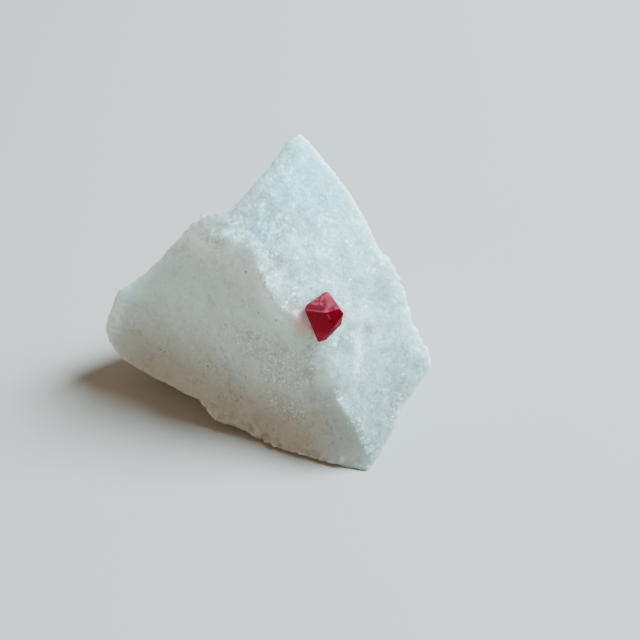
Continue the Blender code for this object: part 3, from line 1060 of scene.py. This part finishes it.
# ------------------------------------------------------------------ the rock
@dataclass
class QuartzRock:
    """The broken chunk of quartz that grips the crystal."""

    crystal: SpinelCrystal
    cell: float = 0.175             # size of the mesh's cells, mm
    old_gap: float = 0.3            # clearance round the crystal in the frame, mm
    new_gap: float = 0.02           # clearance round the crystal in the finished rock, mm
    same_face: float = 0.01         # how near a corner lies to the socket's wall to be on it, mm
    foot_band: float = 0.05         # what lies lower than this is pressed level, mm
    calm_foot: tuple[float, float] = (0.02, 0.25)   # heights between which the relief comes in, mm
    bare_foot: tuple[float, float] = (0.5, 0.8)     # heights between which grains come in, mm
    bare_rim: tuple[float, float] = (0.20, 0.32)    # the same for distances from the crystal, mm
    least_grain: Point = (0.55, 0.55, 0.45)         # how far a grain is stretched, at the least
    most_grain: Point = (1.5, 1.2, 1.0)             # and at the most

    def build(self) -> bpy.types.Object:
        """Build the rock.

        Returns:
            The rock's object.
        """
        mesh = self._without_socket()
        rock = new_piece("quartz_rock", mesh)
        remesh = rock.modifiers.new("even_cells", "REMESH")
        remesh.mode = "VOXEL"
        remesh.voxel_size = self.cell
        settle(rock)
        rock.data.transform(Matrix.Scale(MM, 4))
        finish = MilkyQuartz().make()
        self._relief(rock, finish)
        self._press_foot(rock)
        self._seat(rock)
        rock.data.shade_smooth()
        return rock

    def _without_socket(self) -> bmesh.types.BMesh:
        """Copy the frame's chunk and close its socket over.

        Returns:
            The chunk in millimetres.
        """
        mesh = merged_node(Node.MATRIX)
        socket = swollen(self.crystal.corners(), self.old_gap)
        wall = BVHTree.FromBMesh(socket)
        socket.free()

        def on_wall(point: Vector) -> bool:
            """Whether a point lies on the socket's wall."""
            return wall.find_nearest(point)[3] < self.same_face

        inside = [
            face for face in mesh.faces
            if on_wall(face.calc_center_median()) and all(on_wall(vertex.co) for vertex in face.verts)
        ]
        log.info("socket faces closed over: %d", len(inside))
        bmesh.ops.delete(mesh, geom=inside, context="FACES")
        lips = [edge for edge in mesh.edges if edge.is_boundary]
        bmesh.ops.holes_fill(mesh, edges=lips, sides=0)
        bmesh.ops.triangulate(mesh, faces=mesh.faces[:])
        return mesh

    def _relief(self, rock: bpy.types.Object, finish: bpy.types.Material) -> None:
        """Roughen the rock: small teeth on its edges, lumps, grain and the ledge.

        Args:
            rock: the rock.
            finish: its material.
        """
        recipe = Recipe("broken_relief", {
            "Hackle size": 0.70, "Hackle height": 0.07, "Jagged edges": 6.5, "Lump size": 1.2,
            "Lump height": 0.03, "Grain size": 0.42, "Grain height": 0.05, "Coarse grain": 2.4,
            "Ledge height": 0.38, "Detail": 1.5,
        })
        place = recipe.place
        coarse = recipe.spots(place, COARSE, 0.3).top(recipe.spots(place, SPARKLING, 0.3) * 0.5)
        level = recipe.node("ShaderNodeSeparateXYZ", {}, {"Vector": place}, "Z")
        clear_of_foot = level.rise(self.calm_foot)
        normal = recipe.node("GeometryNodeInputNormal")
        detail = recipe.input("Detail")
        hackle = recipe.noise(place, recipe.input("Hackle size"), detail, 0.0).other("Color")
        hackle = recipe.vector("SUBTRACT", hackle, (0.5, 0.5, 0.5))
        jagged = 1 + recipe.input("Jagged edges") * recipe.spots(place, JAGGED, 0.3)
        hackle_push = clear_of_foot * jagged * recipe.input("Hackle height") * (2 * MM)
        lumps = recipe.noise(place, recipe.input("Lump size"), detail, 3.0) - 0.5
        lumps = lumps * recipe.input("Lump height") * 2
        grain = recipe.noise(place, recipe.input("Grain size"), detail, 8.0) - 0.5
        grain = grain * recipe.input("Grain height") * (1 + recipe.input("Coarse grain") * coarse)
        ledge = recipe.spots(place, LEDGE, 0.1) * recipe.input("Ledge height")
        push = (lumps + grain + ledge) * clear_of_foot * MM
        shift = recipe.vector("ADD", recipe.vector("SCALE", hackle, scale=hackle_push),
                              recipe.vector("SCALE", normal, scale=push))
        moved = recipe.node("GeometryNodeSetPosition", {},
                            {"Geometry": recipe.input("Geometry"), "Offset": shift})
        recipe.finish(moved, finish)
        recipe.run(rock)

    def _press_foot(self, rock: bpy.types.Object) -> None:
        """Keep the underside level, on the resting plane.

        Args:
            rock: the rock.
        """
        for vertex in rock.data.vertices:
            if vertex.co.z < self.foot_band * MM:
                vertex.co.z = 0.0

    def _seat(self, rock: bpy.types.Object) -> None:
        """Cut the crystal's seat into the rock, so that the rock grips it closely.

        Args:
            rock: the rock.
        """
        cutter = new_piece("seat_cutter", to_metres(swollen(self.crystal.corners(), self.new_gap)))
        cutter.data.materials.append(rock.data.materials[0])
        cut = rock.modifiers.new("seat", "BOOLEAN")
        cut.operation = "DIFFERENCE"
        cut.solver = "EXACT"
        cut.object = cutter
        settle(rock)
        bpy.data.objects.remove(cutter)

    def strew(self, rock: bpy.types.Object, gem: bpy.types.Object) -> bpy.types.Object:
        """Strew grains over the coarse and the glittering parts of the rock.

        Args:
            rock: the finished rock.
            gem: the crystal, which the grains keep clear of.

        Returns:
            The object of all the grains.
        """
        sugar = new_piece("quartz_sugar", rock.data.copy())
        recipe = Recipe("strewn_grains", {
            "Grain radius": 0.065, "Grains per mm2": 13.0, "Stray grains per mm2": 0.25,
            "Sink": 0.03, "Seed": 7, "Stretch seed": 31, "Crystal": gem,
        })
        place = recipe.place
        covered = recipe.spots(place, COARSE, 0.25).top(recipe.spots(place, SPARKLING, 0.1) * 0.55)
        patchy = recipe.blotches(place, GRAIN_BUNCHES)
        other = recipe.node("GeometryNodeObjectInfo", {"transform_space": "ORIGINAL"},
                            {"Object": recipe.input("Crystal")}, "Geometry")
        away = recipe.node("GeometryNodeProximity", {"target_element": "FACES"},
                           {"Geometry": other}, "Distance")
        level = recipe.node("ShaderNodeSeparateXYZ", {}, {"Vector": place}, "Z")
        free = away.rise(self.bare_rim) * level.rise(self.bare_foot)
        thick = (covered * patchy * recipe.input("Grains per mm2")
                 + recipe.input("Stray grains per mm2")) * free * (1 / MM ** 2)
        sunk = recipe.vector("SCALE", recipe.node("GeometryNodeInputNormal"),
                             scale=recipe.input("Sink") * -MM)
        sunk_mesh = recipe.node("GeometryNodeSetPosition", {},
                                {"Geometry": recipe.input("Geometry"), "Offset": sunk})
        points = recipe.node("GeometryNodeDistributePointsOnFaces", {"distribute_method": "RANDOM"},
                             {"Mesh": sunk_mesh, "Density": thick,
                              "Seed": recipe.input("Seed")}, "Points")
        size = {"Radius": recipe.input("Grain radius") * MM, "Subdivisions": 1}
        ball = recipe.node("GeometryNodeMeshIcoSphere", {}, size, "Mesh")
        turn = recipe.node("FunctionNodeRandomValue", {"data_type": "FLOAT_VECTOR"},
                           {"Min": (0, 0, 0), "Max": (math.tau,) * 3, "Seed": recipe.input("Seed")})
        stretch = recipe.node("FunctionNodeRandomValue", {"data_type": "FLOAT_VECTOR"},
                              {"Min": self.least_grain, "Max": self.most_grain,
                               "Seed": recipe.input("Stretch seed")})
        strewn = recipe.node("GeometryNodeInstanceOnPoints", {}, {
            "Points": points, "Instance": ball, "Rotation": turn, "Scale": stretch})
        recipe.finish(strewn, SugarGrain().make())
        recipe.run(sugar)
        return sugar


# ------------------------------------------------------------------ the studio
@dataclass(frozen=True)
class SoftLight:
    """A soft round lamp that looks at the specimen.

    Args:
        name: its name.
        towards: the direction from the specimen to the lamp.
        away: its distance in metres.
        size: its width in metres.
        power: its power in watts.
        tone: its colour.
    """

    name: str
    towards: Point
    away: float
    size: float
    power: float
    tone: Colour

    def hang(self, aim: Vector) -> None:
        """Hang the lamp.

        Args:
            aim: the point that it looks at, in metres.
        """
        lamp = bpy.data.lights.new(self.name, "AREA")
        lamp.shape = "DISK"
        lamp.size = self.size
        lamp.energy = self.power
        lamp.color = self.tone
        thing = bpy.data.objects.new(self.name, lamp)
        direction = Vector(self.towards).normalized()
        thing.location = aim + direction * self.away
        thing.rotation_euler = direction.to_track_quat("Z", "Y").to_euler()
        bpy.context.scene.collection.objects.link(thing)


@dataclass
class Studio:
    """The plain floor, the light and the camera."""

    aim: Point = (0.0, 0.0, 10.0)           # what the lamps look at, mm
    camera_place: Point = (4.929, -80.531, 76.0)    # mm
    lens: float = 67.5
    near_clip: float = 2.0                  # mm
    floor_width: float = 6.0                # metres
    floor_drop: float = 0.01                # how far the floor lies below the resting plane, mm
    floor_tone: Colour = (0.44, 0.40, 0.36)
    sky_tone: Colour = (1.0, 0.83, 0.64)
    sky_strength: float = 0.34

    def lights(self) -> tuple[SoftLight, ...]:
        """Choose the lamps.

        Returns:
            A cool window on the right and a weak warm lamp on the left.
        """
        return (
            SoftLight("window", towards=(0.653, 0.160, 0.739), away=0.6, size=0.30, power=18.0,
                      tone=(0.60, 0.89, 1.0)),
            SoftLight("warm_fill", towards=(-0.75, -0.60, 0.35), away=0.6, size=0.07, power=0.50,
                      tone=(1.0, 0.76, 0.52)),
        )

    def build(self) -> None:
        """Build the studio."""
        floor = bmesh.new()
        half = self.floor_width / 2
        corners = ((-half, -half), (half, -half), (half, half), (-half, half))
        floor.faces.new([floor.verts.new((x, y, -self.floor_drop * MM)) for x, y in corners])
        plane = new_piece("floor", floor)
        plane.data.materials.append(PlainMatt("pale_floor", self.floor_tone).make())
        for lamp in self.lights():
            lamp.hang(Vector(self.aim) * MM)
        self._sky()
        self._camera()

    def _sky(self) -> None:
        """Even light from all round."""
        world = bpy.data.worlds.new("even_sky")
        world.use_nodes = True
        back = world.node_tree.nodes["Background"]
        back.inputs["Color"].default_value = (*self.sky_tone, 1.0)
        back.inputs["Strength"].default_value = self.sky_strength
        bpy.context.scene.world = world

    def _camera(self) -> None:
        """The camera, square to the show side."""
        data = bpy.data.cameras.new("camera")
        data.lens = self.lens
        data.clip_start = self.near_clip * MM
        camera = bpy.data.objects.new("camera", data)
        camera.location = Vector(self.camera_place) * MM
        camera.rotation_euler = (math.pi / 2 - SHOW_TILT, 0.0, 0.0)
        bpy.context.scene.collection.objects.link(camera)
        bpy.context.scene.camera = camera


# ------------------------------------------------------------------ putting it together
def hand_over(piece: bpy.types.Object, node: Node) -> None:
    """Attach a piece to the frame's body and hide the node of the frame that it stands for.

    Args:
        piece: the finished piece.
        node: the node of the frame that it stands for.
    """
    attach(piece, BODY)
    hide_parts(node.value)
    log.info("%s: %d triangles", piece.name, count_triangles(piece))


def main() -> None:
    """Build the specimen and its studio."""
    logging.basicConfig(level=logging.INFO, format="%(name)s: %(message)s")
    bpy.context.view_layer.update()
    Studio().build()

    crystal = SpinelCrystal()
    gem = crystal.build()
    rock_maker = QuartzRock(crystal)
    rock = rock_maker.build()
    sugar = rock_maker.strew(rock, gem)

    hand_over(gem, Node.CRYSTAL)
    hand_over(rock, Node.MATRIX)
    hand_over(sugar, Node.MATRIX)


if __name__ == "__main__":
    main()
